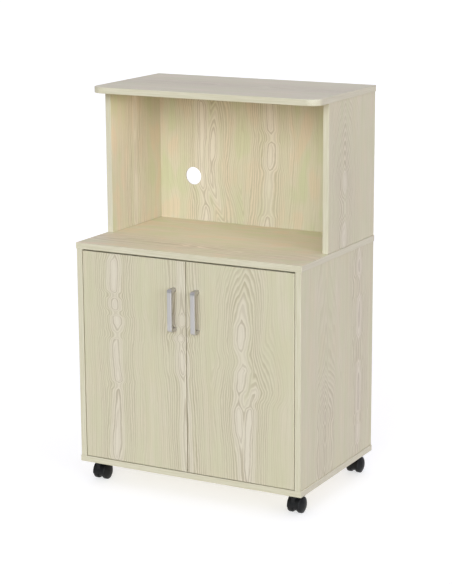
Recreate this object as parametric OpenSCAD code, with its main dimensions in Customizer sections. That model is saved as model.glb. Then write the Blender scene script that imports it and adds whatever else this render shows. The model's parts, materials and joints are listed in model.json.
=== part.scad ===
// Microwave stand on four twin-wheel casters: a two-door cabinet with an open hutch on top.
// Millimetres, +Z up, +Y to the back. The origin is on the floor, under the middle of the whole
// object, with the door handles counted in its depth.

/* [Boards] */
// Width over the ends of the worktop, top and bottom boards
overall_w = 604; // [540:2:680]
// Depth of the worktop and the bottom board
overall_d = 403; // [380:1:450]
// Thickness of every board and door
board_t = 15; // [14:0.5:18]
// How far the board ends stand out past the side panels
end_overhang = 2; // [0:0.5:5]
// Height of the lower side panels
lower_h = 520; // [440:5:600]
// Height of the hutch side panels
hutch_h = 351; // [280:1:420]
// Depth of the hutch side panels
hutch_d = 260; // [220:5:320]
// Depth of the top board
top_d = 325; // [270:5:380]
// Radius of the front corners of the top board
top_corner_r = 30; // [5:1:50]

/* [Back panels] */
// Thickness of the thin back panels
back_t = 5; // [3:0.5:6]
// Distance from the rear edges of the boards to the back panels
back_recess = 18; // [12:1:26]
// How far the back panels reach into their grooves
groove_depth = 4; // [3:0.5:5]
// Play of a back panel in its groove, on each face
groove_play = 0.2; // [0.1:0.1:0.4]
// Diameter of the cable hole
cable_hole_d = 45; // [35:1:60]
// Cable hole centre, left of the middle
cable_hole_left = 190; // [60:5:220]
// Cable hole centre above the worktop
cable_hole_up = 113; // [60:1:200]

/* [Doors] */
// Gap between a door and its side panel
door_side_gap = 1.5; // [1.5:0.1:2.5]
// Gap between the two doors
door_mid_gap = 2; // [1:0.5:4]
// Gap above the doors
door_top_gap = 3.5; // [2:0.5:5]
// Gap under the doors
door_bottom_gap = 2; // [1:0.5:4]
// Radius of the long front edges of the doors
door_edge_r = 1.5; // [1.5:0.1:3]
// Opening angle of the doors
door_open = 95; // [80:1:96]

/* [Hinges] */
// Distance from a door end to the middle of its hinge
hinge_inset = 85; // [60:5:130]
// Diameter of the hinge cup bore in the door
cup_d = 35; // [33:0.5:38]
// Board left between the cup bore and the door edge
cup_edge = 3.5; // [3:0.5:6]
// Board left in front of the cup bore
cup_floor = 2.2; // [1.5:0.1:2.5]
// Hinge pin, behind the front face of the door
pivot_in = 5.4; // [5.2:0.1:5.6]
// Diameter of the hinge pins
hinge_pin_d = 2.5; // [2:0.1:3]
// Radius of the hinge arm round its pin
barrel_r = 2.3; // [2.1:0.1:2.4]
// Width of the hinge arm
arm_w = 10.4; // [8:0.2:11]
// Thickness of the hinge arm at its neck and leg
arm_t = 4; // [3:0.1:4.2]
// Length of the hinge arm behind the front edge of the side panel
arm_reach = 76; // [70:1:90]
// Distance of the mounting plate screws behind the front edge
plate_back = 52; // [48:1:56]
// Thickness of the hinge mounting plate
plate_t = 3; // [2:0.5:4]

/* [Handles] */
// Distance between the handle screws
handle_pitch = 96; // [64:16:128]
// Length of each handle foot along the door
handle_foot = 9; // [8:0.5:12]
// Width of the handle strap
handle_w = 12; // [10:0.5:16]
// Thickness of the handle strap
handle_t = 5; // [4:0.5:7]
// How far the handles stand out from the doors
handle_out = 24; // [20:1:32]
// Radius of the outer bends of the handle
handle_bend_r = 10; // [7:0.5:12]
// Handle middle below the top edge of the door
handle_drop = 117; // [80:1:250]
// Handle middle from the free edge of the door
handle_edge = 30; // [20:1:60]

/* [Inner shelf] */
// Underside of the inner shelf above the bottom board
inner_shelf_up = 250; // [190:2:300]
// Setback of the inner shelf behind the front edges
inner_shelf_back = 42; // [36:1:80]
// Diameter of the shelf pins
shelf_pin_d = 5; // [4:0.5:6]
// Step between the shelf pin holes
pin_step = 64; // [32:16:64]

/* [Fittings] */
// Diameter of the cam locks
cam_d = 15; // [12:0.5:16]
// Cam centre from the panel end
cam_in = 24; // [20:1:34]
// Diameter of the wooden dowels
dowel_d = 8; // [6:1:8]
// Length of the wooden dowels
dowel_l = 30; // [25:1:40]

/* [Casters] */
// Height from the floor to the bottom board
caster_h = 54; // [52:1:60]
// Caster swivel axis from the board end
caster_in_x = 33.5; // [30:0.5:60]
// Caster swivel axis from the front and rear edges
caster_in_y = 35.5; // [30:0.5:60]
// Distance from the swivel axis back to the axle
caster_trail = 12; // [10:0.5:14]
// Diameter of the caster wheels
wheel_d = 40; // [36:1:40]
// Width of one caster wheel, its domed face included
wheel_w = 17; // [15:0.5:18]
// Thickness of the web between the two wheels
web_w = 9.4; // [9:0.2:12]
// Diameter of the caster axle
axle_d = 6; // [5:0.5:7]
// Diameter of the swivel pin
swivel_pin_d = 7; // [6:0.5:7]
// Side of the caster mounting plate
caster_plate_w = 42; // [40:1:46]
// Thickness of the caster mounting plate
caster_plate_t = 2; // [1.5:0.5:3]

/* [Hidden] */
$fn = 64;

// Colours
OAK = "#d8d2b6";
OAK_DARK = "#c9c2a4";
BEECH = "#d9b98a";
SATIN = "#b9b9bd";
ZINC = "#c4c6c8";
STEEL = "#a9acb0";
BLACK = "#26262a";
WHITE_PLASTIC = "#e8e6df";

// Clearances
FIT = 0.05;       // radial play of a pin that turns in its bore
TIGHT = 0.02;     // radial play of a pin that is pressed in
SEAT = 0.3;       // gap between faces that run past each other
EPS = 0.01;       // overlap of a cut past the face that it opens
OVER = 1;         // the same, where nothing else lies near the face

// Levels and planes
front_y = -(overall_d - handle_out) / 2;
rear_y = front_y + overall_d;
outer_half = overall_w / 2 - end_overhang;
inner_half = outer_half - board_t;
lower_z = caster_h + board_t;
worktop_z = lower_z + lower_h;
hutch_z = worktop_z + board_t;
top_z = hutch_z + hutch_h;
hutch_front_y = rear_y - hutch_d;
back_y = rear_y - back_recess - back_t;
groove_end = inner_half + groove_depth;

// Doors, measured from the inner face of the side panel and from the front plane
door_z0 = lower_z + door_bottom_gap;
door_z1 = worktop_z - door_top_gap;
door_w = inner_half - door_side_gap - door_mid_gap / 2;
hinge_zs = [door_z0 + hinge_inset, door_z1 - hinge_inset];

// Hinge: the cup sits in the door, the arm reaches into it as a gooseneck
cup_r = cup_d / 2;
cup_x = door_side_gap + cup_edge + cup_r;
cup_wall = 2.4;
pocket_x0 = door_side_gap + cup_edge + cup_wall;
barrel_room = 0.8;
pivot_x = pocket_x0 + barrel_r + barrel_room;
pocket_floor = pivot_in - barrel_r - SEAT;
pocket_half = arm_w / 2 + 0.4;
// The rear corner of the door's hinge edge, seen from the pin, turns past the arm
corner_x = pivot_x - door_side_gap;
corner_y = board_t - pivot_in;
corner_r = norm([corner_x, corner_y]);
leg_gap = 0.5;
leg_x0 = pivot_x - corner_x * cos(door_open) + corner_y * sin(door_open) + leg_gap;
leg_x1 = leg_x0 + arm_t;
neck_y0 = pivot_in - barrel_r;
neck_y1 = neck_y0 + arm_t;
run_y0 = pivot_in + corner_r + 0.6;
run_y1 = run_y0 + arm_t;
arm_h = 9;
arm_top = plate_t + arm_h;
arm_break = 1.5;
arm_slope = [3, 14];
arm_skin = 1.5;
channel_y0 = run_y1 + arm_skin;
channel_half = arm_w / 2 - arm_skin;
rail_y0 = channel_y0 + 1;
arm_screw_r = 2.1;
arm_head_r = 3.4;
arm_head_h = 1.4;
arm_screw_skin = 1;
pocket_x1 = leg_x1 + 3.5;
pin_half = pocket_half + 5.9;
cup_play = 0.1;
flange_t = 1.2;
flange_r = cup_r + 1.7;
ear_out = 6;
ear_corner_r = 5;
cup_screw_x = cup_x + 9.5;
cup_screw_z = 24;
plate_screw_z = 16;
base_half = 7;
wing_half = 6.5;
wing_end = 7;
wing_corner_r = 5.5;
base_short = 4;

// Screws: how far they bite into the board, the depth of their pilot holes and the drive recess
screw_r = 1.6;
screw_room = 0.3;
screw_head_r = 3.6;
screw_head_h = 2;
euro_r = 2.4;
bite = 10;
pilot = bite + 0.5;
drive_w = 0.9;
drive_d = 0.9;
drive_span = 0.62;

// Handles
handle_l = handle_pitch + handle_foot;
handle_z = door_z1 - handle_drop;
handle_x = door_side_gap + door_w - handle_edge;
handle_inner_r = 6;
handle_edge_r = 1.4;
handle_end_r = 3;
handle_screw_r = 2;
handle_screw_in = 8;
handle_head_r = 4.2;
handle_screw_short = 1;

// Catch
strike_t = 1.2;
strike_w = 14;
strike_h = 20;
strike_mid = 10;
strike_x = inner_half - strike_mid;
strike_z1 = door_z1 - 1;
strike_screw_drop = 15;
strike_screw_z = strike_z1 - strike_screw_drop;
strike_corner_r = 2;
strike_head_r = 2.8;
catch_half = 26;
catch_d = 15;
catch_h = 13;
catch_face = board_t + strike_t + SEAT;
catch_screw_x = 20;
catch_corner_r = 3;
magnet_w = 9;
magnet_h = 8;
magnet_d = 12;
magnet_z = worktop_z - catch_h / 2;
magnet_proud = 0.3;

// Inner shelf and its pins
shelf_play = 0.8;
shelf_z = lower_z + inner_shelf_up;
shelf_y0 = front_y + inner_shelf_back;
shelf_y1 = back_y - 1;
pin_r = shelf_pin_d / 2;
pin_hole_in = 9;
pin_out = 8;
collar_t = 1.5;
collar_r = pin_r + collar_t;
pin_edge = 35;
pin_ys = [shelf_y0 + pin_edge, shelf_y1 - pin_edge];

// Fittings that join the panels, measured from the joint plane into the panel
cam_r = cam_d / 2;
cam_skin = 2.5;
cam_depth = board_t - cam_skin;
bolt_skin = 4;
bolt_in = board_t - bolt_skin;
bolt_r = 2.5;
shank_r = 3.4;
shank_room = 0.6;
neck_r = 1.8;
neck_z0 = cam_in - cam_r - 0.4;
head_r = 2.9;
head_z0 = cam_in - 2.4;
head_z1 = cam_in + 1.8;
cam_slack = 0.1;
cam_room = 0.5;
disc_r = cam_r + 1.1;
disc_t = 0.4;
dowel_r = dowel_d / 2;
dowel_skin = 5;
dowel_low = board_t - dowel_skin;
lower_cam_y = 60;
lower_dowel_y = 95;
hutch_cam_y = 45;
hutch_dowel_y = 78;
lower_cams = [front_y + lower_cam_y, rear_y - lower_cam_y];
lower_dowels = [front_y + lower_dowel_y, rear_y - lower_dowel_y];
hutch_cams = [hutch_front_y + hutch_cam_y, rear_y - hutch_cam_y];
hutch_dowels = [hutch_front_y + hutch_dowel_y, rear_y - hutch_dowel_y];
// Each joint: its height, the way from the board into the panel, the cams and the dowels along it
BOTTOM_JOINT = [lower_z, 1, lower_cams, lower_dowels];
UNDER_WORKTOP_JOINT = [worktop_z, -1, lower_cams, lower_dowels];
ON_WORKTOP_JOINT = [hutch_z, 1, hutch_cams, hutch_dowels];
TOP_JOINT = [top_z, -1, hutch_cams, hutch_dowels];
JOINTS = [BOTTOM_JOINT, UNDER_WORKTOP_JOINT, ON_WORKTOP_JOINT, TOP_JOINT];

// Casters, measured from the swivel axis and from the floor
caster_x = overall_w / 2 - caster_in_x;
caster_front_y = front_y + caster_in_y;
caster_rear_y = rear_y - caster_in_y;
wheel_r = wheel_d / 2;
axle_r = axle_d / 2;
wheel_gap = 0.5;
wheel_x0 = web_w / 2 + wheel_gap;
wheel_x1 = wheel_x0 + wheel_w;
wheel_edge_r = 4;
shoulder_r = 8;
dome_r = 36;
ring_rs = [5.5, 10];
ring_w = 0.9;
ring_d = 0.7;
core_r0 = 7.5;
core_r1 = 15;
core_d = 7;
hood_gap = 1.2;
hood_t = 2.6;
hood_r = wheel_r + hood_gap + hood_t;
hood_half = 16;
hood_edge_r = 2.2;
hood_from = 60;
hood_to = 188;
web_short = 4;
floor_gap = 4;
web_r = wheel_r - floor_gap;
race_r = 14.5;
race_h = 3;
boss_r = 12;
boss_web = 10;
boss_z1 = caster_h - caster_plate_t - race_h - SEAT;
boss_z0 = wheel_d + hood_gap;
swivel_r = swivel_pin_d / 2;
swivel_deep = 6;
swivel_z0 = wheel_d - swivel_deep;
bead_r = 0.4;
bead_z = (boss_z0 + boss_z1) / 2;
axle_cap = 2;
axle_half = wheel_x1 - axle_cap;
plate_hole_edge = 5.5;
plate_hole = caster_plate_w / 2 - plate_hole_edge;
plate_corner_r = 4;
FAR = 90;         // reach of a cutting shape past all that it cuts

// A rectangle with round corners, made from squares and circles
module rounded_rect(x0, y0, x1, y1, r) {
    translate([x0 + r, y0]) square([x1 - x0 - 2 * r, y1 - y0]);
    translate([x0, y0 + r]) square([x1 - x0, y1 - y0 - 2 * r]);
    for (x = [x0 + r, x1 - r], y = [y0 + r, y1 - r]) translate([x, y]) circle(r);
}

// A rectangle whose two front corners (low y) are round
module front_rounded(x0, y0, x1, y1, r) {
    translate([x0, y0 + r]) square([x1 - x0, y1 - y0 - r]);
    translate([x0 + r, y0]) square([x1 - x0 - 2 * r, y1 - y0]);
    for (x = [x0 + r, x1 - r]) translate([x, y0 + r]) circle(r);
}

// A cylinder between two places along one axis
module rod_x(x0, x1, y, z, r) { translate([x0, y, z]) rotate([0, 90, 0]) cylinder(h = x1 - x0, r = r); }
module rod_y(x, y0, y1, z, r) { translate([x, y0, z]) rotate([-90, 0, 0]) cylinder(h = y1 - y0, r = r); }
module rod_z(x, y, z0, z1, r) { translate([x, y, z0]) cylinder(h = z1 - z0, r = r); }

// A box between two corners
module block(a, b) { translate(a) cube(b - a); }

module both_sides() {
    children();
    mirror([1, 0, 0]) children();
}

// Puts a left-hand piece at the left door's corner of the opening, or its mirror image at the right
module at_left() { translate([-inner_half, front_y, 0]) children(); }
module at_right() { mirror([1, 0, 0]) at_left() children(); }

// Places along one joint, on the middle of the left panel's thickness, with +Z into the panel
module along_joint(joint, ys) {
    for (y = ys) translate([-inner_half - board_t / 2, y, joint[0]])
        mirror([0, 0, joint[1] < 0 ? 1 : 0]) children();
}

// Bores of one joint in the panel's end and inner face
module panel_bores(joint) {
    along_joint(joint, joint[2]) {
        rod_x(board_t / 2 - cam_depth, board_t / 2 + EPS, 0, cam_in, cam_r);
        rod_z(0, 0, -EPS, cam_in, shank_r + shank_room);
    }
    along_joint(joint, joint[3]) rod_z(0, 0, -EPS, dowel_l - dowel_low + SEAT, dowel_r);
}

// Bores of one joint in the board's face
module board_bores(joint) {
    both_sides() {
        along_joint(joint, joint[2]) rod_z(0, 0, -bolt_in - SEAT, EPS, bolt_r + TIGHT);
        along_joint(joint, joint[3]) rod_z(0, 0, -dowel_low - SEAT, EPS, dowel_r);
    }
}

// Groove for a back panel in a board, between two heights
module board_groove(z0, z1) {
    reach = groove_end + SEAT;
    block([-reach, back_y - groove_play, z0], [reach, back_y + back_t + groove_play, z1]);
}

// Groove for a back panel in the left side panels
module panel_groove() {
    block([-groove_end - SEAT, back_y - groove_play, lower_z - EPS],
          [-inner_half + EPS, back_y + back_t + groove_play, top_z + EPS]);
}

module lower_side() {
    difference() {
        block([-outer_half, front_y, lower_z], [-inner_half, rear_y, worktop_z]);
        panel_groove();
        panel_bores(BOTTOM_JOINT);
        panel_bores(UNDER_WORKTOP_JOINT);
        for (row = [-1, 0, 1], y = pin_ys)
            rod_x(-inner_half - pin_hole_in - SEAT, -inner_half + EPS, y, shelf_z - pin_r + row * pin_step,
                  pin_r);
        at_left() for (z = hinge_zs, s = [-1, 1])
            rod_x(-pilot, EPS, plate_back, z + s * plate_screw_z, euro_r);
    }
}

module hutch_side() {
    difference() {
        block([-outer_half, hutch_front_y, hutch_z], [-inner_half, rear_y, top_z]);
        panel_groove();
        panel_bores(ON_WORKTOP_JOINT);
        panel_bores(TOP_JOINT);
    }
}

module bottom_board() {
    color(OAK) difference() {
        block([-overall_w / 2, front_y, caster_h], [overall_w / 2, rear_y, lower_z]);
        board_bores(BOTTOM_JOINT);
        board_groove(lower_z - groove_depth - SEAT, lower_z + EPS);
        at_casters() for_plate_holes() rod_z(0, 0, caster_h - EPS, caster_h + pilot, screw_r + TIGHT);
    }
}

module left_side_panel() { color(OAK) lower_side(); }
module right_side_panel() { color(OAK) mirror([1, 0, 0]) lower_side(); }
module hutch_left_panel() { color(OAK) hutch_side(); }
module hutch_right_panel() { color(OAK) mirror([1, 0, 0]) hutch_side(); }

module worktop_board() {
    color(OAK) difference() {
        block([-overall_w / 2, front_y, worktop_z], [overall_w / 2, rear_y, hutch_z]);
        board_bores(UNDER_WORKTOP_JOINT);
        board_bores(ON_WORKTOP_JOINT);
        board_groove(worktop_z - EPS, worktop_z + groove_depth + SEAT);
        board_groove(hutch_z - groove_depth - SEAT, hutch_z + EPS);
        for_catch_screws() rod_z(0, 0, worktop_z - EPS, worktop_z + pilot, screw_r + TIGHT);
    }
}

module top_board() {
    color(OAK) difference() {
        translate([0, 0, top_z]) linear_extrude(board_t)
            front_rounded(-overall_w / 2, rear_y - top_d, overall_w / 2, rear_y, top_corner_r);
        board_bores(TOP_JOINT);
        board_groove(top_z - EPS, top_z + groove_depth + SEAT);
    }
}

// A thin panel held in the grooves on all four sides
module back_panel(z0, z1) {
    block([-groove_end, back_y, z0 - groove_depth], [groove_end, back_y + back_t, z1 + groove_depth]);
}

module lower_back_panel() { color(OAK_DARK) back_panel(lower_z, worktop_z); }

module hutch_back_panel() {
    color(OAK) difference() {
        back_panel(hutch_z, top_z);
        rod_y(-cable_hole_left, back_y - OVER, back_y + back_t + OVER, hutch_z + cable_hole_up,
              cable_hole_d / 2);
    }
}

module inner_shelf() {
    half = inner_half - shelf_play;
    color(OAK) block([-half, shelf_y0, shelf_z], [half, shelf_y1, shelf_z + board_t]);
}

// One pin with a collar on the panel, the collar's top cut level under the shelf
module shelf_pin() {
    rod_x(-pin_hole_in, pin_out, 0, -pin_r, pin_r - TIGHT);
    difference() {
        rod_x(0, collar_t, 0, -pin_r, collar_r);
        block([-OVER, -collar_r - OVER, 0], [collar_t + OVER, collar_r + OVER, collar_r]);
    }
}

module shelf_pins() {
    color(ZINC) both_sides() for (y = pin_ys) translate([-inner_half, y, shelf_z]) shelf_pin();
}

// Fittings
module cam_lock() {
    difference() {
        rod_x(board_t / 2 - cam_depth + cam_slack, board_t / 2 - cam_slack, 0, cam_in, cam_r - cam_slack);
        block([-neck_r - cam_room, -neck_r - cam_room, cam_in - cam_r - OVER],
              [neck_r + cam_room, neck_r + cam_room, cam_in]);
        block([-head_r - cam_room, -head_r - cam_room, head_z0 - cam_room],
              [head_r + cam_room, head_r + cam_room, head_z1 + cam_room]);
        translate([board_t / 2 - cam_slack, 0, cam_in]) rotate([0, 90, 0]) cross_recess(cam_r);
    }
}

module cam_bolt() {
    rod_z(0, 0, -bolt_in, 0, bolt_r);
    rod_z(0, 0, 0, neck_z0, shank_r);
    rod_z(0, 0, neck_z0 - OVER, head_z0 + OVER, neck_r);
    rod_z(0, 0, head_z0, head_z1, head_r);
}

module cam_locks() { color(ZINC) both_sides() for (j = JOINTS) along_joint(j, j[2]) cam_lock(); }
module cam_bolts() { color(STEEL) both_sides() for (j = JOINTS) along_joint(j, j[2]) cam_bolt(); }

module cam_cover_discs() {
    color(OAK) both_sides() for (j = JOINTS)
        along_joint(j, j[2]) rod_x(board_t / 2, board_t / 2 + disc_t, 0, cam_in, disc_r);
}

module dowels() {
    color(BEECH) both_sides() for (j = JOINTS)
        along_joint(j, j[3]) rod_z(0, 0, -dowel_low, dowel_l - dowel_low, dowel_r - TIGHT);
}

// A pan-head screw along +Z: its head under z = 0, its shank above it
module wood_screw(length, r = screw_r, head_r = screw_head_r, head_h = screw_head_h) {
    difference() {
        rod_z(0, 0, -head_h, 0, head_r);
        translate([0, 0, -head_h]) cross_recess(head_r);
    }
    rod_z(0, 0, -EPS, length, r);
}

// Cross-shaped drive recess, cut into a head's face at z = 0 from both sides of it
module cross_recess(of_r) {
    span = of_r * drive_span;
    block([-span, -drive_w / 2, -drive_d], [span, drive_w / 2, drive_d]);
    block([-drive_w / 2, -span, -drive_d], [drive_w / 2, span, drive_d]);
}

// Doors
module door_panel() {
    difference() {
        translate([0, 0, door_z0]) linear_extrude(door_z1 - door_z0)
            front_rounded(door_side_gap, 0, door_side_gap + door_w, board_t, door_edge_r);
        for (z = hinge_zs) {
            rod_y(cup_x, cup_floor, board_t + EPS, z, cup_r);
            for (s = [-1, 1]) rod_y(cup_screw_x, board_t - pilot, board_t + EPS, z + s * cup_screw_z,
                                    screw_r + TIGHT);
        }
        for (s = [-1, 1]) rod_y(handle_x, -OVER, board_t + OVER, handle_z + s * handle_pitch / 2,
                                handle_screw_r + screw_room);
        rod_y(strike_x, board_t - pilot, board_t + EPS, strike_screw_z, screw_r + TIGHT);
    }
}

module left_door() { color(OAK) at_left() door_panel(); }
module right_door() { color(OAK) at_right() door_panel(); }

// Handle: side outline, front outline and cross-section, cut together
module handle_side() {
    z1 = handle_l / 2;
    y1 = handle_out;
    difference() {
        union() {
            translate([0, -z1]) square([y1 - handle_bend_r, 2 * z1]);
            translate([0, -z1 + handle_bend_r]) square([y1, 2 * (z1 - handle_bend_r)]);
            for (s = [-1, 1]) translate([y1 - handle_bend_r, s * (z1 - handle_bend_r)]) circle(handle_bend_r);
        }
        inner_z = z1 - handle_foot;
        inner_y = y1 - handle_t;
        translate([-OVER, -inner_z]) square([inner_y - handle_inner_r + OVER, 2 * inner_z]);
        translate([-OVER, -inner_z + handle_inner_r])
            square([inner_y + OVER, 2 * (inner_z - handle_inner_r)]);
        for (s = [-1, 1]) translate([inner_y - handle_inner_r, s * (inner_z - handle_inner_r)])
            circle(handle_inner_r);
    }
}

module handle() {
    translate([handle_x, 0, handle_z]) difference() {
        intersection() {
            translate([handle_w / 2, 0, 0]) rotate([90, 0, -90]) linear_extrude(handle_w) handle_side();
            translate([0, OVER, 0]) rotate([90, 0, 0]) linear_extrude(handle_out + 2 * OVER)
                rounded_rect(-handle_w / 2, -handle_l / 2, handle_w / 2, handle_l / 2, handle_end_r);
            translate([0, 0, -handle_l]) linear_extrude(2 * handle_l)
                front_rounded(-handle_w / 2, -handle_out, handle_w / 2, OVER, handle_edge_r);
        }
        for (s = [-1, 1]) rod_y(0, -handle_screw_in, EPS, s * handle_pitch / 2, handle_screw_r + FIT);
    }
}

module left_handle() { color(SATIN) at_left() handle(); }
module right_handle() { color(SATIN) at_right() handle(); }

module handle_screws() {
    for (s = [-1, 1]) translate([handle_x, board_t, handle_z + s * handle_pitch / 2]) rotate([90, 0, 0])
        wood_screw(board_t + handle_screw_in - handle_screw_short, handle_screw_r, handle_head_r);
}

module left_handle_screws() { color(STEEL) at_left() handle_screws(); }
module right_handle_screws() { color(STEEL) at_right() handle_screws(); }

// Hinges, drawn for the left door
module hinge_cup() {
    difference() {
        union() {
            rod_y(cup_x, cup_floor + cup_play, board_t, 0, cup_r - cup_play);
            rod_y(cup_x, board_t, board_t + flange_t, 0, flange_r);
            translate([0, board_t + flange_t, 0]) rotate([90, 0, 0]) linear_extrude(flange_t)
                rounded_rect(cup_x, -cup_screw_z - ear_out, cup_screw_x + ear_out, cup_screw_z + ear_out,
                             ear_corner_r);
        }
        block([pocket_x0, pocket_floor, -pocket_half], [pocket_x1, board_t + flange_t + OVER, pocket_half]);
        block([-OVER, board_t, -pocket_half], [cup_x, board_t + flange_t + OVER, pocket_half]);
        rod_z(pivot_x, pivot_in, -pin_half - SEAT, pin_half + SEAT, hinge_pin_d / 2 + TIGHT);
        for (s = [-1, 1])
            rod_y(cup_screw_x, board_t - EPS, board_t + flange_t + OVER, s * cup_screw_z,
                  screw_r + screw_room);
    }
}

module hinge_arm() {
    difference() {
        union() {
            translate([0, 0, -arm_w / 2]) linear_extrude(arm_w) polygon([
                [pivot_x, neck_y0], [leg_x1 - arm_break, neck_y0], [leg_x1, neck_y0 + arm_break],
                [leg_x1, run_y1 - arm_break], [leg_x1 - arm_break, run_y1], [arm_top, run_y1],
                [arm_top, arm_reach - arm_slope[1]], [arm_top - arm_slope[0], arm_reach],
                [plate_t, arm_reach], [plate_t, run_y0], [leg_x0, run_y0], [leg_x0, neck_y1],
                [pivot_x, neck_y1]
            ]);
            rod_z(pivot_x, pivot_in, -arm_w / 2, arm_w / 2, barrel_r);
        }
        rod_z(pivot_x, pivot_in, -arm_w, arm_w, hinge_pin_d / 2 + FIT);
        block([0, channel_y0, -channel_half], [arm_top - arm_skin, arm_reach + OVER, channel_half]);
        rod_x(0, arm_top + OVER, plate_back, 0, arm_screw_r + screw_room);
    }
}

// Base with two wings, and a rail that the arm's channel sits on
module hinge_plate() {
    difference() {
        union() {
            block([0, run_y1, -base_half], [plate_t, arm_reach - base_short, base_half]);
            block([0, rail_y0, -channel_half + SEAT],
                  [arm_top - arm_skin - TIGHT, arm_reach - arm_slope[1], channel_half - SEAT]);
            rotate([90, 0, 90]) linear_extrude(plate_t)
                rounded_rect(plate_back - wing_half, -plate_screw_z - wing_end,
                             plate_back + wing_half, plate_screw_z + wing_end, wing_corner_r);
        }
        rod_x(arm_screw_skin, arm_top, plate_back, 0, arm_screw_r + TIGHT);
        for (s = [-1, 1]) rod_x(-OVER, plate_t + OVER, plate_back, s * plate_screw_z, euro_r + TIGHT);
    }
}

module hinge_pin() { rod_z(pivot_x, pivot_in, -pin_half, pin_half, hinge_pin_d / 2); }

// Two screws that hold the plate to the panel, and the one that holds the arm on the plate
module hinge_screw_set() {
    for (s = [-1, 1]) translate([plate_t, plate_back, s * plate_screw_z]) rotate([0, -90, 0])
        wood_screw(plate_t + bite, euro_r - TIGHT);
    translate([arm_top, plate_back, 0]) rotate([0, -90, 0])
        wood_screw(arm_top - arm_screw_skin - SEAT, arm_screw_r, arm_head_r, arm_head_h);
}

module at_hinges() { for (z = hinge_zs) translate([0, 0, z]) children(); }

module left_hinge_arms() { color(ZINC) at_left() at_hinges() hinge_arm(); }
module right_hinge_arms() { color(ZINC) at_right() at_hinges() hinge_arm(); }
module left_hinge_plates() { color(ZINC) at_left() at_hinges() hinge_plate(); }
module right_hinge_plates() { color(ZINC) at_right() at_hinges() hinge_plate(); }
module left_hinge_cups() { color(ZINC) at_left() at_hinges() hinge_cup(); }
module right_hinge_cups() { color(ZINC) at_right() at_hinges() hinge_cup(); }
module left_hinge_pins() { color(STEEL) at_left() at_hinges() hinge_pin(); }
module right_hinge_pins() { color(STEEL) at_right() at_hinges() hinge_pin(); }

module hinge_plate_screws() {
    color(STEEL) {
        at_left() at_hinges() hinge_screw_set();
        at_right() at_hinges() hinge_screw_set();
    }
}

// Screws of the cups and of the strike plate
module door_screws() {
    at_hinges() for (s = [-1, 1]) translate([cup_screw_x, board_t + flange_t, s * cup_screw_z])
        rotate([90, 0, 0]) wood_screw(flange_t + bite);
    translate([strike_x, board_t + strike_t, strike_screw_z]) rotate([90, 0, 0])
        sunk_screw(strike_t + bite);
}

// A screw whose conical head ends level with the strike plate's face
module sunk_screw(length) {
    difference() {
        cylinder(h = strike_t, r1 = strike_head_r, r2 = screw_r);
        cross_recess(strike_head_r);
    }
    rod_z(0, 0, drive_d, length, screw_r);
}

module left_door_screws() { color(STEEL) at_left() door_screws(); }
module right_door_screws() { color(STEEL) at_right() door_screws(); }

// Magnetic catch under the worktop, behind the meeting edges of the doors
module for_catch_screws() {
    for (s = [-1, 1]) translate([s * catch_screw_x, front_y + catch_face + magnet_proud + catch_d / 2, 0])
        children();
}

module magnet(play) {
    y0 = front_y + catch_face;
    half_w = magnet_w / 2 + play;
    half_h = magnet_h / 2 + play;
    block([strike_mid - half_w, y0, magnet_z - half_h],
          [strike_mid + half_w, y0 + magnet_proud + magnet_d + play, magnet_z + half_h]);
}

module catch_housing() {
    y0 = front_y + catch_face + magnet_proud;
    color(WHITE_PLASTIC) difference() {
        translate([0, 0, worktop_z - catch_h]) linear_extrude(catch_h)
            rounded_rect(-catch_half, y0, catch_half, y0 + catch_d, catch_corner_r);
        both_sides() magnet(TIGHT);
        for_catch_screws()
            rod_z(0, 0, worktop_z - catch_h - OVER, worktop_z + OVER, screw_r + screw_room);
        for_catch_screws()
            rod_z(0, 0, worktop_z - catch_h - OVER, worktop_z - catch_h + screw_head_h,
                  screw_head_r + screw_room);
    }
}

module catch_magnets() { color(STEEL) both_sides() magnet(0); }

module catch_screws() {
    color(STEEL) for_catch_screws() translate([0, 0, worktop_z - catch_h + screw_head_h])
        wood_screw(catch_h - screw_head_h + bite);
}

module strike_plate() {
    difference() {
        translate([0, board_t + strike_t, 0]) rotate([90, 0, 0]) linear_extrude(strike_t)
            rounded_rect(strike_x - strike_w / 2, strike_z1 - strike_h,
                         strike_x + strike_w / 2, strike_z1, strike_corner_r);
        translate([strike_x, board_t + strike_t, strike_screw_z]) rotate([90, 0, 0])
            cylinder(h = strike_t + EPS, r1 = strike_head_r + TIGHT, r2 = screw_r + TIGHT);
    }
}

module left_strike_plate() { color(STEEL) at_left() strike_plate(); }
module right_strike_plate() { color(STEEL) at_right() strike_plate(); }

// Casters, drawn round the swivel axis with the axle behind it
module at_casters() {
    for (x = [-caster_x, caster_x], y = [caster_front_y, caster_rear_y]) translate([x, y, 0]) children();
}

module for_plate_holes() {
    for (x = [-plate_hole, plate_hole], y = [-plate_hole, plate_hole]) translate([x, y, 0]) children();
}

// Pressed plate with its raised race and the riveted swivel pin
module caster_plate() {
    color(BLACK) {
        difference() {
            union() {
                translate([0, 0, caster_h - caster_plate_t]) linear_extrude(caster_plate_t)
                    rounded_rect(-caster_plate_w / 2, -caster_plate_w / 2, caster_plate_w / 2,
                                 caster_plate_w / 2, plate_corner_r);
                rod_z(0, 0, caster_h - caster_plate_t - race_h, caster_h - caster_plate_t, race_r);
                rod_z(0, 0, swivel_z0, caster_h - caster_plate_t / 2, swivel_r);
                translate([0, 0, bead_z]) rotate_extrude() translate([swivel_r, 0]) circle(bead_r);
            }
            for_plate_holes() rod_z(0, 0, 0, caster_h + OVER, screw_r + screw_room);
        }
    }
}

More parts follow.
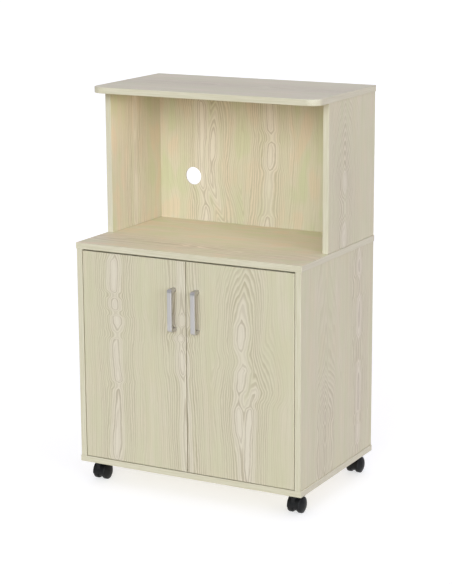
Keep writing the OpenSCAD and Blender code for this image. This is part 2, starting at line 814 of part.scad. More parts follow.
// Side outline of the web: a disc round the axle, joined to the fender and to the swivel boss
module web_outline() {
    translate([caster_trail, wheel_r]) {
        circle(web_r);
        intersection() {
            circle(wheel_r + hood_gap + hood_t / 2);
            sector(hood_from + web_short, hood_to - web_short);
        }
    }
    translate([-boss_web, wheel_r + web_r / 2])
        square([boss_web + caster_trail, boss_z1 - wheel_r - web_r / 2]);
}

// A wedge of the plane between two angles
module sector(from, to) {
    step = (to - from) / 3;
    polygon([[0, 0], for (i = [0:3]) FAR * [cos(from + i * step), sin(from + i * step)]]);
}

// The fender: a shell turned over the wheels, its long edges rounded
module fender() {
    edge = hood_half - hood_edge_r;
    translate([0, caster_trail, wheel_r]) rotate([90, 0, 90]) rotate([0, 0, hood_from])
        rotate_extrude(angle = hood_to - hood_from) translate([hood_r, 0]) intersection() {
            translate([-hood_t, -hood_half]) square([hood_t, 2 * hood_half]);
            union() {
                translate([-hood_t, -edge]) square([hood_t, 2 * edge]);
                translate([-hood_t, -hood_half]) square([hood_t - hood_edge_r, 2 * hood_half]);
                for (s = [-1, 1]) translate([-hood_edge_r, s * edge]) circle(hood_edge_r);
            }
        }
}

module caster_hood() {
    color(BLACK) difference() {
        union() {
            translate([-web_w / 2, 0, 0]) rotate([90, 0, 90]) linear_extrude(web_w) web_outline();
            fender();
            rod_z(0, 0, boss_z0, boss_z1, boss_r);
        }
        rod_z(0, 0, swivel_z0 - SEAT, caster_h, swivel_r + FIT);
        translate([0, 0, bead_z]) rotate_extrude() translate([swivel_r, 0]) circle(bead_r + FIT);
        rod_x(-web_w, web_w, caster_trail, wheel_r, axle_r + TIGHT);
    }
}

module caster_axle() { color(STEEL) rod_x(-axle_half, axle_half, caster_trail, wheel_r, axle_r); }

// Half section of a wheel (radius, width): inner edge and outer shoulder round, outer face domed
module wheel_section() {
    intersection() {
        union() {
            square([wheel_r - wheel_edge_r, wheel_w - shoulder_r]);
            square([wheel_r - shoulder_r, wheel_w]);
            translate([0, wheel_edge_r]) square([wheel_r, wheel_w - wheel_edge_r - shoulder_r]);
            translate([wheel_r - wheel_edge_r, wheel_edge_r]) circle(wheel_edge_r);
            translate([wheel_r - shoulder_r, wheel_w - shoulder_r]) circle(shoulder_r);
        }
        dome(dome_r);
    }
}

// Half section of a ball whose top is the middle of the wheel's outer face, less a depth
module dome(r) { translate([0, wheel_w - dome_r]) circle(r); }

// One wheel on the +X side: blind bore, hollow behind the tread, two ring grooves in the dome
module wheel() {
    color(BLACK) translate([wheel_x0, caster_trail, wheel_r]) rotate([90, 0, 90])
        rotate_extrude() difference() {
            wheel_section();
            square([axle_r + FIT, axle_half - wheel_x0 + SEAT]);
            translate([core_r0, -OVER]) square([core_r1 - core_r0, core_d + OVER]);
            difference() {
                for (r = ring_rs) translate([r, wheel_w / 2]) square([ring_w, wheel_w]);
                dome(dome_r - ring_d);
            }
        }
}

// One caster's pieces at one corner
module at_corner(x, y) { translate([x * caster_x, y < 0 ? caster_front_y : caster_rear_y, 0]) children(); }
module outer_wheel(x, y) { at_corner(x, y) mirror([x < 0 ? 1 : 0, 0, 0]) wheel(); }
module inner_wheel(x, y) { at_corner(x, y) mirror([x < 0 ? 0 : 1, 0, 0]) wheel(); }

module caster_screws() {
    color(STEEL) at_casters() for_plate_holes() translate([0, 0, caster_h - caster_plate_t])
        wood_screw(caster_plate_t + bite);
}

bottom_board();
left_side_panel();
right_side_panel();
worktop_board();
lower_back_panel();
inner_shelf();
shelf_pins();
hutch_left_panel();
hutch_right_panel();
hutch_back_panel();
top_board();
cam_locks();
cam_bolts();
cam_cover_discs();
dowels();
left_door();
right_door();
left_handle();
right_handle();
left_handle_screws();
right_handle_screws();
left_hinge_arms();
right_hinge_arms();
left_hinge_plates();
right_hinge_plates();
left_hinge_cups();
right_hinge_cups();
left_hinge_pins();
right_hinge_pins();
hinge_plate_screws();
left_door_screws();
right_door_screws();
catch_housing();
catch_magnets();
catch_screws();
left_strike_plate();
right_strike_plate();
at_corner(-1, -1) caster_plate();  // front_left_caster_plate
at_corner(-1, -1) caster_hood();  // front_left_caster_hood
at_corner(-1, -1) caster_axle();  // front_left_caster_axle
outer_wheel(-1, -1);  // front_left_outer_wheel
inner_wheel(-1, -1);  // front_left_inner_wheel
at_corner(1, -1) caster_plate();  // front_right_caster_plate
at_corner(1, -1) caster_hood();  // front_right_caster_hood
at_corner(1, -1) caster_axle();  // front_right_caster_axle
outer_wheel(1, -1);  // front_right_outer_wheel
inner_wheel(1, -1);  // front_right_inner_wheel
at_corner(-1, 1) caster_plate();  // rear_left_caster_plate
at_corner(-1, 1) caster_hood();  // rear_left_caster_hood
at_corner(-1, 1) caster_axle();  // rear_left_caster_axle
outer_wheel(-1, 1);  // rear_left_outer_wheel
inner_wheel(-1, 1);  // rear_left_inner_wheel
at_corner(1, 1) caster_plate();  // rear_right_caster_plate
at_corner(1, 1) caster_hood();  // rear_right_caster_hood
at_corner(1, 1) caster_axle();  // rear_right_caster_axle
outer_wheel(1, 1);  // rear_right_outer_wheel
inner_wheel(1, 1);  // rear_right_inner_wheel
caster_screws();
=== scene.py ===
import json
import math

import bmesh
import bpy
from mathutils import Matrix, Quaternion, Vector


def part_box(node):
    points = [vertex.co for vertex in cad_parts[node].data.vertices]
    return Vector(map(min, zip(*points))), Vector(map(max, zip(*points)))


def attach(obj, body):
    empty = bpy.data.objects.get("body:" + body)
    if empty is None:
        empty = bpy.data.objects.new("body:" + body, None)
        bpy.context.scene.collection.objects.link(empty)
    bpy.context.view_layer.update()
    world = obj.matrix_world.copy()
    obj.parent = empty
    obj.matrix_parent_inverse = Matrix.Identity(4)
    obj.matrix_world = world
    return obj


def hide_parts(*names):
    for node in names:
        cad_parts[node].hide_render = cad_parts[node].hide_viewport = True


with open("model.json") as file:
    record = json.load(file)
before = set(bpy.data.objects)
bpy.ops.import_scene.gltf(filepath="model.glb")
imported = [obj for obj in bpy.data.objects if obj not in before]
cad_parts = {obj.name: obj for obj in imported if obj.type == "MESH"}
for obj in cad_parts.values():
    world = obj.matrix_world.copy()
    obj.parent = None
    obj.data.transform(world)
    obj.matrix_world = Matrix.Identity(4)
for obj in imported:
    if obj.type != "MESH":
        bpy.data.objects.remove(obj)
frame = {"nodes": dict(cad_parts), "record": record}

# A microwave stand: pale oak board, satin handles and black twin-wheel casters.
# Lengths are in metres, and in millimetres inside the wood materials.
X, Y, Z = 0, 1, 2
MM = 0.001
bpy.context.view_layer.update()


def linear(hex_colour):
    """A colour written as red, green and blue in hex, as the renderer's linear values."""
    parts = [int(hex_colour[i:i + 2], 16) / 255 for i in (0, 2, 4)]
    return tuple(c / 12.92 if c < 0.04045 else ((c + 0.055) / 1.055) ** 2.4 for c in parts) + (1.0,)


# Camera, light and floor

EYE = Vector((2.0549, -3.7877, 1.4789))
AZIMUTH = math.radians(28.42)
ELEVATION = math.radians(13.13)
ROLL = math.radians(-0.36)
LENS_MM = 112.2


def add_camera():
    data = bpy.data.cameras.new("camera")
    data.sensor_width = 36
    data.lens = LENS_MM
    data.clip_end = 50
    camera = bpy.data.objects.new("camera", data)
    bpy.context.scene.collection.objects.link(camera)
    forward = Vector((-math.sin(AZIMUTH) * math.cos(ELEVATION),
                      math.cos(AZIMUTH) * math.cos(ELEVATION), -math.sin(ELEVATION)))
    camera.rotation_mode = "QUATERNION"
    camera.rotation_quaternion = forward.to_track_quat("-Z", "Y") @ Quaternion((0, 0, 1), ROLL)
    camera.location = EYE
    bpy.context.scene.camera = camera


def add_light(name, kind, colour, energy, place, target):
    data = bpy.data.lights.new(name, kind)
    data.energy = energy
    data.color = colour
    light = bpy.data.objects.new(name, data)
    bpy.context.scene.collection.objects.link(light)
    light.location = place
    light.rotation_mode = "QUATERNION"
    light.rotation_quaternion = (Vector(target) - Vector(place)).to_track_quat("-Z", "Y")
    return light


def add_soft_sun(name, azimuth, elevation, colour, strength, width=28):
    """Parallel soft light. Azimuth 0 shines on the front, 90 on the right side; angles in degrees."""
    a, e = math.radians(azimuth), math.radians(elevation)
    place = (10 * math.sin(a) * math.cos(e), -10 * math.cos(a) * math.cos(e), 10 * math.sin(e))
    light = add_light(name, "SUN", colour, strength, place, (0, 0, 0))
    light.data.angle = math.radians(width)
    return light


def add_world():
    """White surroundings: brighter behind the object and overhead, with a warm bounce from below."""
    world = bpy.data.worlds.new("studio")
    bpy.context.scene.world = world
    world.use_nodes = True
    sky = Shader(tree=world.node_tree)
    way = sky.node("SeparateXYZ", {0: sky.node("TexCoord").outputs["Generated"]}).outputs
    shares = [(sky.math("MULTIPLY_ADD", way[Y], 0.5, 0.5), (0.37, 0.36, 0.44)),
              (sky.math("MAXIMUM", way[Z], 0.0), (0.56, 0.56, 0.64)),
              (sky.math("MAXIMUM", sky.math("MULTIPLY", way[Z], -1.0), 0.0), (0.60, 0.50, 0.25))]
    total = (0, 0, 0)
    for share, colour in shares:
        total = sky.node("VectorMath", {0: colour, 1: share, 2: total}, operation="MULTIPLY_ADD").outputs[0]
    sky.feed(world.node_tree.nodes["Background"].inputs["Color"], total)


def add_studio():
    add_world()
    add_soft_sun("front_light", 5, 20, (0.87, 1.0, 0.98), 1.04)
    add_soft_sun("low_light", 27, 8, (1, 1, 1), 0.97)
    add_soft_sun("side_light", 65, 15, (0.87, 0.91, 1.0), 1.04)
    add_soft_sun("top_light", 0, 65, (1, 0.8, 0.6), 0.16)
    rear = add_soft_sun("rear_light", 205, 5, (1, 0.98, 0.92), 0.5)
    rear.visible_glossy = False
    fill = add_light("hutch_fill", "AREA", (1.0, 0.85, 0.75), 0.4, (0, -0.02, 0.945), (0, -0.02, 0.6))
    fill.data.shape = "RECTANGLE"
    fill.data.size, fill.data.size_y = 0.5, 0.2
    fill.visible_camera = False
    bpy.context.scene.view_settings.view_transform = "Standard"

    bpy.ops.mesh.primitive_plane_add(size=200)
    floor = bpy.context.object
    floor.name = "floor"
    floor.visible_diffuse = False
    paper = Shader("studio_paper", Roughness=0.95)
    mottle = paper.noise(paper.place(), 3.0)
    paper.colour(paper.mix(mottle, linear("BBBBBA"), linear("BEBEBE")))
    paper.surface.inputs["Emission Color"].default_value = (1, 1, 1, 1)
    paper.surface.inputs["Emission Strength"].default_value = 0.62
    floor.data.materials.append(paper.material)
    add_backdrop()


def add_backdrop():
    """A wide white dome that only the camera sees, so low views have no horizon."""
    bpy.ops.mesh.primitive_uv_sphere_add(segments=64, ring_count=32, radius=40)
    dome = bpy.context.object
    dome.name = "backdrop"
    dome.visible_diffuse = dome.visible_glossy = False
    dome.visible_transmission = dome.visible_shadow = False
    cloth = Shader("studio_backdrop", Roughness=1.0)
    mottle = cloth.noise(cloth.place(), 0.3)
    cloth.colour(cloth.mix(mottle, linear("050505"), linear("080808")))
    cloth.feed(cloth.surface.inputs["Emission Color"], cloth.mix(mottle, linear("FFFFFF"), linear("FCFCFB")))
    cloth.surface.inputs["Emission Strength"].default_value = 1.0
    dome.data.materials.append(cloth.material)


class Shader:
    """Builds one procedural material round its Principled BSDF, or nodes in a given tree."""

    def __init__(self, name=None, tree=None, **values):
        self.tree = tree
        if tree is None:
            self.material = bpy.data.materials.new(name)
            self.material.use_nodes = True
            self.tree = self.material.node_tree
            self.surface = self.tree.nodes["Principled BSDF"]
        for socket, value in values.items():
            self.surface.inputs[socket].default_value = value

    def feed(self, socket, value):
        """Links a socket to another node's output, or sets its value."""
        if isinstance(value, bpy.types.NodeSocket):
            self.tree.links.new(value, socket)
        else:
            socket.default_value = value

    def node(self, kind, inputs=None, **settings):
        node = self.tree.nodes.new("ShaderNode" + kind)
        for name, value in settings.items():
            setattr(node, name, value)
        for key, value in (inputs or {}).items():
            self.feed(node.inputs[key], value)
        return node

    def math(self, operation, *values):
        node = self.node("Math", operation=operation)
        for socket, value in zip(node.inputs, values):
            self.feed(socket, value)
        return node.outputs[0]

    def mix(self, factor, a, b):
        node = self.node("Mix", data_type="RGBA")
        self.feed(node.inputs[0], factor)
        self.feed(node.inputs[6], a)
        self.feed(node.inputs[7], b)
        return node.outputs[2]

    def blend(self, value, low, high, to_low=0.0, to_high=1.0):
        """to_low where value is low, to_high where it is high, and smooth between them."""
        node = self.node("MapRange", {"Value": value, "From Min": low, "From Max": high,
                                      "To Min": to_low, "To Max": to_high},
                         interpolation_type="SMOOTHSTEP")
        return node.outputs[0]

    def curve(self, value, points):
        """A smooth curve through (place, value) points."""
        points = sorted(points)
        low, high = points[0][0], points[-1][0]
        least = min(p[1] for p in points) - 1
        most = max(p[1] for p in points) + 1
        node = self.node("FloatCurve")
        line = node.mapping.curves[0]
        spots = [((at - low) / (high - low), (y - least) / (most - least)) for at, y in points]
        line.points[0].location, line.points[1].location = spots[0], spots[-1]
        for spot in spots[1:-1]:
            line.points.new(*spot)
        node.mapping.update()
        scaled = self.node("MapRange", {"Value": value, "From Min": float(low), "From Max": float(high)})
        self.feed(node.inputs["Value"], scaled.outputs[0])
        return self.math("MULTIPLY_ADD", node.outputs[0], most - least, least)

    def place(self):
        """The place on the piece, in its own metres."""
        return self.node("TexCoord").outputs["Object"]

    def vector(self, x, y, z):
        return self.node("CombineXYZ", {0: x, 1: y, 2: z}).outputs[0]

    def noise(self, vector, scale, detail=2.0):
        return self.node("TexNoise", {"Vector": vector, "Scale": scale, "Detail": detail}).outputs[0]

    def colour(self, value):
        self.feed(self.surface.inputs["Base Color"], value)

    def bump(self, height, depth, strength):
        node = self.node("Bump", {"Strength": strength, "Distance": depth, "Height": height})
        self.feed(self.surface.inputs["Normal"], node.outputs[0])


# Oak print. A board cut lengthwise from a trunk shows its rings as level lines of the distance from the
# trunk's heart. Where the heart runs close behind the face the rings close in ovals, where it sinks
# they pile up as arches, and far from it they are straight lines.

# Distance between rings, in mm
RING = 5.4
# Two draws the tips of ovals and arches round, less draws them pointed
OGIVE = 1.4
# A heart's dips of up to this depth bend only the lines this close to it
DIP = 15.0
DIP_REACH = (10.0, 55.0)
# A straight heart line this far off, in mm, rules the plain wood
FAR_HEART = 420.0
# Width over which two hearts' rings run together, in mm
MEETING = 9.0
# Where in a ring its dark line begins and is full, and where it is gone and still full
LINE_RISE, LINE_FALL = (0.15, 0.65), (1.0, 0.84)
# Distances from a heart, in mm, over which lines grow from their plain strength to full,
# over which they fade at the heart itself, and over which the wood turns pale
NEAR, CLEAR = (90.0, 32.0), (4.5, 8.5)
PALE_WIDE, PALE_EDGE, PALE_CORE = (80.0, 30.0), (23.0, 19.0), (15.0, 6.0)


# Plain wood and its tint, ring lines, faint wide patches, then pale wood near a heart and its ring lines
OAK, OAK_TINT, OAK_RING = linear("D5D0B5"), linear("DBD2BE"), linear("B9B090")
OAK_GREEN, OAK_PINK = linear("C7D0A2"), linear("E6CBB0")
OAK_PALE, OAK_PALE_RING = linear("E2D9CA"), linear("BBAE9B")

# Heart lines, as places along the grain, across it and behind the face, in mm
LEFT_DOOR_HEART = [
    (585, -193, 12), (574, -194, 8), (560, -196, 2), (530, -197, 0), (502, -198, 2), (492, -196, 9),
    (484, -195, 14), (476, -195, 7), (460, -195, 4), (449, -193, 9), (441, -192, 15),
    (433, -190, 4), (423, -189, 0), (412, -189, 5), (397, -190, 11), (386, -190, 16),
    (376, -192, 8), (340, -194, 4), (300, -192, 4), (285, -191, 2), (272, -190, 6), (262, -190, 14),
    (250, -191, 10), (210, -192, 7), (160, -193, 4), (118, -194, 2), (100, -195, 3), (84, -196, 5),
    (71, -196, 13)
]
MEETING_HEART = [
    (585, -14, 14), (520, -13, 12), (476, -13, 10), (456, -12, 5), (441, -12, 0), (425, -13, 10),
    (412, -14, 11), (399, -14, 1), (385, -13, 10), (350, -10, 3), (315, -9, 6), (285, -5, 14),
    (230, -3, 12), (150, -2, 9), (71, 0, 11)
]
RIGHT_DOOR_HEART = [
    (585, 160, 36), (570, 158, 32), (547, 156, 26), (524, 154, 21), (500, 152, 16), (459, 150, 10),
    (425, 148, 2), (397, 146, 6), (370, 150, 13), (352, 152, 10), (335, 148, 3), (300, 143, 4),
    (275, 138, 12), (258, 137, 10), (236, 138, 2), (205, 140, 1), (170, 143, 7), (130, 146, 12),
    (71, 148, 14)
]
SECOND_HEART = [
    (585, 186, 76), (440, 185, 58), (378, 184, 40), (342, 184, 30), (308, 183, 20), (285, 179, 12),
    (262, 169, 13), (246, 167, 4), (215, 165, 1), (180, 163, 3), (130, 162, 2), (71, 162, 6)
]
HUTCH_LEFT_HEART = [
    (955, -172, 3), (930, -171, 4), (918, -170, 11), (905, -168, 4), (880, -165, 2), (830, -163, 2),
    (780, -165, 4), (735, -165, 6), (712, -164, 3), (688, -160, 7), (662, -156, 13), (640, -153, 7),
    (620, -153, 3), (604, -156, 2)
]
HUTCH_SLANT_HEART = [
    (955, -118, 44), (900, -124, 24), (860, -128, 14), (820, -130, 5), (780, -132, 3),
    (745, -136, 9), (715, -136, 6), (690, -130, 9), (660, -120, 15), (604, -98, 28)
]
HUTCH_RIGHT_HEART = [
    (955, 22, 13), (938, 24, 6), (900, 25, 3), (850, 28, 5), (826, 31, 13), (812, 31, 6),
    (780, 30, 3), (750, 29, 8), (735, 28, 14), (700, 26, 12), (650, 22, 15), (626, 20, 8),
    (604, 18, 4)
]
HUTCH_SIDE_HEART = [
    (955, 44, 72), (905, 42, 54), (855, 41, 40), (800, 40, 26), (760, 41, 14), (735, 42, 19),
    (700, 43, 30), (660, 40, 18), (625, 39, 12), (604, 38, 20)
]
LOWER_SIDE_HEART = [
    (589, -60, 92), (500, -56, 82), (420, -54, 72), (345, -54, 62), (310, -54, 50), (275, -54, 36),
    (240, -55, 26), (215, -56, 20), (180, -56, 27), (120, -57, 21), (69, -58, 28)
]
SIDE_STREAK_HEART = [
    (589, 128, 19), (565, 129, 14), (540, 129, 9), (520, 130, 16), (490, 131, 20), (463, 131, 13),
    (430, 131, 9), (385, 130, 11), (360, 130, 19), (330, 130, 21), (300, 130, 16), (278, 131, 12),
    (240, 132, 9), (185, 131, 10), (160, 131, 17), (137, 131, 12), (110, 131, 13), (90, 131, 19),
    (69, 131, 21)
]
INNER_STREAK_HEART = [
    (955, 66, 18), (860, 66, 15), (780, 65, 19), (700, 66, 15), (604, 66, 18)
]
TOP_HEART = [
    (302, 66, 32), (150, 62, 26), (20, 60, 33), (-120, 58, 25), (-302, 60, 31)
]
WORKTOP_HEART = [
    (302, -112, 34), (180, -110, 27), (40, -112, 33), (-90, -108, 25), (-302, -110, 34)
]


def heart_distance(shader, u, v, heart):
    """Distance in mm from a heart line, at u across and v along the grain."""
    across = shader.curve(v, [(at, x) for at, x, depth in heart])
    depth = shader.curve(v, [(at, depth) for at, x, depth in heart])
    aside = shader.math("ABSOLUTE", shader.math("SUBTRACT", u, across))
    dip = shader.math("MULTIPLY", shader.math("MINIMUM", depth, DIP),
                      shader.blend(aside, *DIP_REACH, 0.0, 0.85))
    depth = shader.math("SUBTRACT", depth, dip)
    sides = [shader.math("POWER", shader.math("ABSOLUTE", side), OGIVE) for side in (aside, depth)]
    return shader.math("POWER", shader.math("ADD", *sides), 1 / OGIVE)


def oak(name, across, along, hearts=(), seed=0.0, plain=0.25, cast=0.1):
    """Melamine board with an oak print whose grain runs along one axis.

    plain is how strong the lines are far from a heart, and cast how strong its pink and green patches.
    """
    s = Shader(name, Roughness=0.48)
    xyz = s.node("SeparateXYZ", {0: s.place()}).outputs
    u = s.math("MULTIPLY", xyz[across], 1 / MM)
    v = s.math("MULTIPLY", xyz[along], 1 / MM)

    def grain(wide, long, shift, detail=2.0):
        """Noise with features so wide across the grain and so long along it, in mm, at its own shift."""
        place = s.vector(s.math("MULTIPLY", u, 1 / wide), s.math("MULTIPLY", v, 1 / long), seed + shift)
        return s.noise(place, 1.0, detail)

    bend = s.math("MULTIPLY_ADD", grain(70, 190, 1.3), 12.0, -6.0)
    wiggle = s.math("MULTIPLY_ADD", grain(9, 26, 5.1), 4.0, -2.0)
    grown = s.math("ADD", s.math("ADD", u, bend), wiggle)
    distance = s.math("ABSOLUTE", s.math("SUBTRACT", grown, FAR_HEART))
    for heart in hearts:
        distance = s.math("SMOOTH_MIN", distance, heart_distance(s, grown, v, heart), MEETING)

    rings = s.math("MULTIPLY_ADD", distance, 1 / RING, s.math("MULTIPLY", grain(34, 700, 8.7), 3.2))
    tooth = s.math("FRACT", rings)
    line = s.math("MULTIPLY", s.blend(tooth, *LINE_RISE), s.blend(tooth, *LINE_FALL))
    vigour = s.node("TexWhiteNoise", {"W": s.math("FLOOR", rings)}, noise_dimensions="1D").outputs[0]
    patch = grain(26, 150, 11.9, 3.0)
    pale = s.math("ADD", s.blend(distance, *PALE_EDGE, 0.0, 0.4), s.blend(distance, *PALE_CORE, 0.0, 0.25))
    pale = s.math("ADD", pale, s.blend(distance, *PALE_WIDE, 0.0, 0.35))
    near = s.blend(distance, *NEAR, plain, 1.0)
    line = s.math("MULTIPLY", s.math("MULTIPLY", line, near), s.blend(vigour, 0.0, 1.0, 0.45, 1.0))
    line = s.math("MULTIPLY", line, s.blend(patch, 0.25, 0.65, 0.5, 1.0))
    line = s.math("MULTIPLY", line, s.blend(distance, *CLEAR, 0.15, 1.0))
    fibre = grain(1.1, 60, 17.0, 3.0)
    pores = s.blend(grain(0.55, 9.0, 23.0, 1.0), 0.60, 0.72)
    shade = s.blend(grain(7, 420, 29.0, 2.0), 0.3, 0.7)

    colour = s.mix(s.blend(patch, 0.35, 0.7), OAK, OAK_TINT)
    tone = grain(38, 110, 37.0, 1.0)
    colour = s.mix(s.blend(tone, 0.49, 0.36, 0.0, cast), colour, OAK_GREEN)
    colour = s.mix(s.blend(tone, 0.51, 0.64, 0.0, cast), colour, OAK_PINK)
    colour = s.mix(s.math("MULTIPLY", shade, 0.15), colour, OAK_RING)
    colour = s.mix(s.math("MULTIPLY", pale, 0.9), colour, OAK_PALE)
    ring_colour = s.mix(pale, OAK_RING, OAK_PALE_RING)
    colour = s.mix(line, colour, ring_colour)
    colour = s.mix(s.blend(fibre, 0.3, 0.75, 0.0, 0.13), colour, ring_colour)
    colour = s.mix(s.math("MULTIPLY", pores, 0.12), colour, ring_colour)
    s.colour(colour)
    s.feed(s.surface.inputs["Roughness"], s.blend(fibre, 0.2, 0.8, 0.44, 0.56))
    height = s.math("ADD", s.math("MULTIPLY", pores, -0.7), s.math("MULTIPLY", line, -0.3))
    s.bump(height, 0.0002, 0.35)
    return s.material


def edge_band(name, along, seed, light="DED8C4", dark="D0C9B0"):
    """Thin cream edging of a board, with faint streaks along it."""
    s = Shader(name, Roughness=0.42)
    stretch = [900.0, 900.0, 900.0]
    stretch[along] = 14.0
    place = s.node("VectorMath", {0: s.place(), 1: stretch}, operation="MULTIPLY").outputs[0]
    place = s.node("VectorMath", {0: place, 1: (seed, seed, seed)}, operation="ADD").outputs[0]
    streak = s.noise(place, 1.0, 3.0)
    s.colour(s.mix(s.blend(streak, 0.3, 0.7), linear(light), linear(dark)))
    s.bump(streak, 0.0001, 0.2)
    return s.material


def metal(name, colour, roughness, brushed_along=None):
    """Satin or plated metal, with fine marks in its gloss."""
    s = Shader(name, Metallic=1.0, Roughness=roughness)
    stretch = [2500.0, 2500.0, 2500.0]
    if brushed_along is not None:
        stretch[brushed_along] = 60.0
    place = s.node("VectorMath", {0: s.place(), 1: stretch}, operation="MULTIPLY").outputs[0]
    marks = s.noise(place, 1.0, 3.0)
    darker = tuple(0.86 * c for c in linear(colour)[:3]) + (1.0,)
    s.colour(s.mix(marks, linear(colour), darker))
    s.feed(s.surface.inputs["Roughness"], s.blend(marks, 0.2, 0.8, roughness - 0.05, roughness + 0.07))
    s.bump(marks, 0.00005, 0.2)
    return s.material


def plastic(name, colour, roughness, grain=0.0006, gloss=0.5):
    """Moulded plastic with a fine grain."""
    s = Shader(name, Roughness=roughness)
    s.surface.inputs["Specular IOR Level"].default_value = gloss
    grains = s.noise(s.place(), 1 / grain, 2.0)
    cloud = s.noise(s.place(), 40.0, 3.0)
    lighter = tuple(min(1.0, 1.25 * c + 0.003) for c in linear(colour)[:3]) + (1.0,)
    s.colour(s.mix(cloud, linear(colour), lighter))
    s.feed(s.surface.inputs["Roughness"], s.blend(cloud, 0.3, 0.7, roughness - 0.05, roughness + 0.08))
    s.bump(grains, 0.0001, 0.25)
    return s.material


def beech(name):
    """Raw beech of the dowels, which stand across the boards."""
    s = Shader(name, Roughness=0.7)
    place = s.node("VectorMath", {0: s.place(), 1: (1200, 1200, 90)}, operation="MULTIPLY").outputs[0]
    s.colour(s.mix(s.noise(place, 1.0, 3.0), linear("DDBE92"), linear("BE9666")))
    return s.material


# Boards: the CAD board with its outer edges eased, faces and edge bands apart

EASE = 0.0007
DOOR_EASE = 0.0003
# Least angle of an edge that is eased, and of one that is drawn sharp
SHARP = math.radians(40)
CREASE = math.radians(35)
# How far round corners reach in from a board's sides
DOOR_CORNER = 0.002
TOP_CORNER = 0.031
# Least part of a face's normal along an axis, for a face that lies across it
ACROSS = 0.7
FLAT = 0.9999


def body_of(node):
    """The moving body that a node belongs to, or the fixed one."""
    for body, members in frame["record"]["behaviour"]["bodies"].items():
        if node in members:
            return body
    return "root"


def board(node, thin, face, edge, corner=0.0, ease=EASE, end=None):
    """Puts an eased copy of a CAD board in its place. thin is the axis of its thickness.

    end, if given, is the material of its left and right ends.
    """
    source = frame["nodes"][node]
    low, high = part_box(node)
    mesh = bpy.data.meshes.new(node + "_veneer")
    bm = bmesh.new()
    bm.from_mesh(source.data)
    bmesh.ops.remove_doubles(bm, verts=bm.verts, dist=1e-6)
    bmesh.ops.dissolve_limit(bm, angle_limit=math.radians(0.5), verts=bm.verts, edges=bm.edges)
    bm.normal_update()

    def on_box(item):
        for axis in (X, Y, Z):
            for plane in (low[axis], high[axis]):
                if all(abs(v.co[axis] - plane) < 1e-5 for v in item.verts):
                    return True
        middle = item.calc_center_median()
        in_corner = min(middle.x - low.x, high.x - middle.x) < corner and middle.y - low.y < corner
        return in_corner and abs(item.normal.z) < 0.01

    eased = [e for e in bm.edges if len(e.link_faces) == 2 and e.calc_face_angle(0) > SHARP
             and e.is_convex and all(on_box(f) for f in e.link_faces)]
    bmesh.ops.bevel(bm, geom=eased, offset=ease, segments=2, profile=0.5, affect="EDGES",
                    clamp_overlap=True)
    bm.normal_update()
    for f in bm.faces:
        f.material_index = 0 if abs(f.normal[thin]) > ACROSS else 1
        if end and abs(f.normal.x) > 0.9:
            f.material_index = 2
    bm.to_mesh(mesh)
    bm.free()
    mesh.set_sharp_from_angle(angle=CREASE)
    for polygon in mesh.polygons:
        polygon.use_smooth = max(abs(c) for c in polygon.normal) < FLAT
    mesh.materials.append(face)
    mesh.materials.append(edge)
    if end:
        mesh.materials.append(end)
    piece = bpy.data.objects.new(node + "_veneer", mesh)
    bpy.context.scene.collection.objects.link(piece)
    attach(piece, body_of(node))
    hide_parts(node)
    return piece


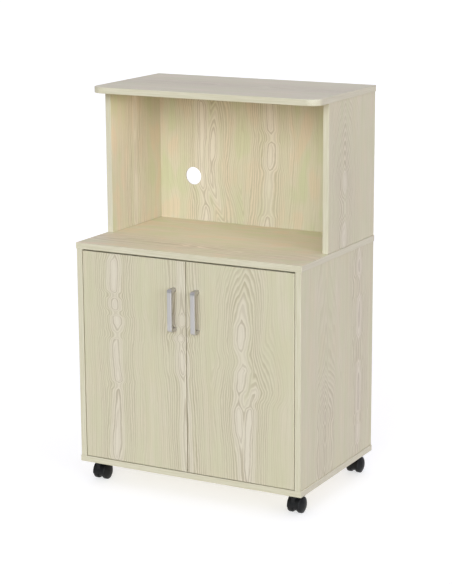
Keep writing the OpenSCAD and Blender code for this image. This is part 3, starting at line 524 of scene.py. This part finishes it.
def add_boards():
    doors = oak("door_oak", X, Z,
                [LEFT_DOOR_HEART, MEETING_HEART, RIGHT_DOOR_HEART, SECOND_HEART], 3.0, 0.2, 0.06)
    hutch_back = oak("hutch_back_oak", X, Z,
                     [HUTCH_LEFT_HEART, HUTCH_SLANT_HEART, HUTCH_RIGHT_HEART], 7.0, 0.3, 0.42)
    lower_back = oak("lower_back_oak", X, Z, [LEFT_DOOR_HEART, RIGHT_DOOR_HEART], 12.0)
    lower_side = oak("lower_side_oak", Y, Z, [LOWER_SIDE_HEART, SIDE_STREAK_HEART], 20.0, 0.32)
    right_hutch = oak("hutch_right_oak", Y, Z, [HUTCH_SIDE_HEART], 25.0, 0.32)
    left_hutch = oak("hutch_left_oak", Y, Z, [INNER_STREAK_HEART], 31.0, 0.35, 0.4)
    top = oak("top_oak", Y, X, [TOP_HEART], 40.0)
    worktop = oak("worktop_oak", Y, X, [WORKTOP_HEART], 44.0, 0.2, 0.4)
    plain = oak("plain_oak", Y, X, [], 50.0)
    upright_edge = edge_band("upright_edge_band", Z, 2.0)
    level_edge = edge_band("level_edge_band", X, 6.0)
    board("left_door", Y, doors, upright_edge, DOOR_CORNER, DOOR_EASE)
    board("right_door", Y, doors, upright_edge, DOOR_CORNER, DOOR_EASE)
    board("left_side_panel", X, lower_side, upright_edge)
    board("right_side_panel", X, lower_side, upright_edge)
    board("hutch_left_panel", X, left_hutch, upright_edge)
    board("hutch_right_panel", X, right_hutch, upright_edge)
    board("hutch_back_panel", Y, hutch_back, level_edge)
    board("lower_back_panel", Y, lower_back, level_edge)
    # The ends' edging is the same cream edging in darker colours: painted shade that makes the left and
    # right ends of the top, worktop and bottom look as dim as the sides
    shaded_ends = edge_band("shaded_ends_band", Y, 9.0, "D7D0BB", "CAC3AC")
    board("top_board", Z, top, level_edge, TOP_CORNER, end=shaded_ends)
    board("worktop_board", Z, worktop, level_edge, end=shaded_ends)
    board("bottom_board", Z, plain, level_edge, end=shaded_ends)
    board("inner_shelf", Z, plain, level_edge)
    dress("cam_cover_discs", left_hutch)
    dress("dowels", beech("beech_dowels"))


def dress(word, material):
    """Gives a material to every CAD node with this word in its name."""
    for name, piece in frame["nodes"].items():
        if word in name:
            piece.data.materials.clear()
            piece.data.materials.append(material)


def add_fittings():
    dress("handle", metal("satin_silver", "C8C5C2", 0.42, Z))
    dress("hinge", metal("nickel_plate", "C4C5C8", 0.28))
    dress("shelf_pins", metal("pin_nickel", "C4C5C8", 0.3))
    dress("cam_locks", metal("cast_zinc", "A9ABB0", 0.45))
    dress("strike_plate", metal("strike_steel", "B9BBBE", 0.35, X))
    steel = metal("zinc_plated_steel", "B0B2B5", 0.32)
    for word in ("screws", "cam_bolts", "hinge_pins", "caster_axle"):
        dress(word, steel)
    dress("catch_housing", plastic("white_plastic", "E6E3DA", 0.45))
    dress("catch_magnets", metal("ferrite", "4A4A4C", 0.5))
    dress("caster_plate", metal("black_coated_steel", "101012", 0.42))
    dress("caster_hood", plastic("black_nylon", "0C0C0E", 0.42, gloss=0.25))
    dress("wheel", plastic("black_tread", "0A0A0C", 0.4, 0.0004, gloss=0.25))


add_camera()
add_studio()
add_boards()
add_fittings()
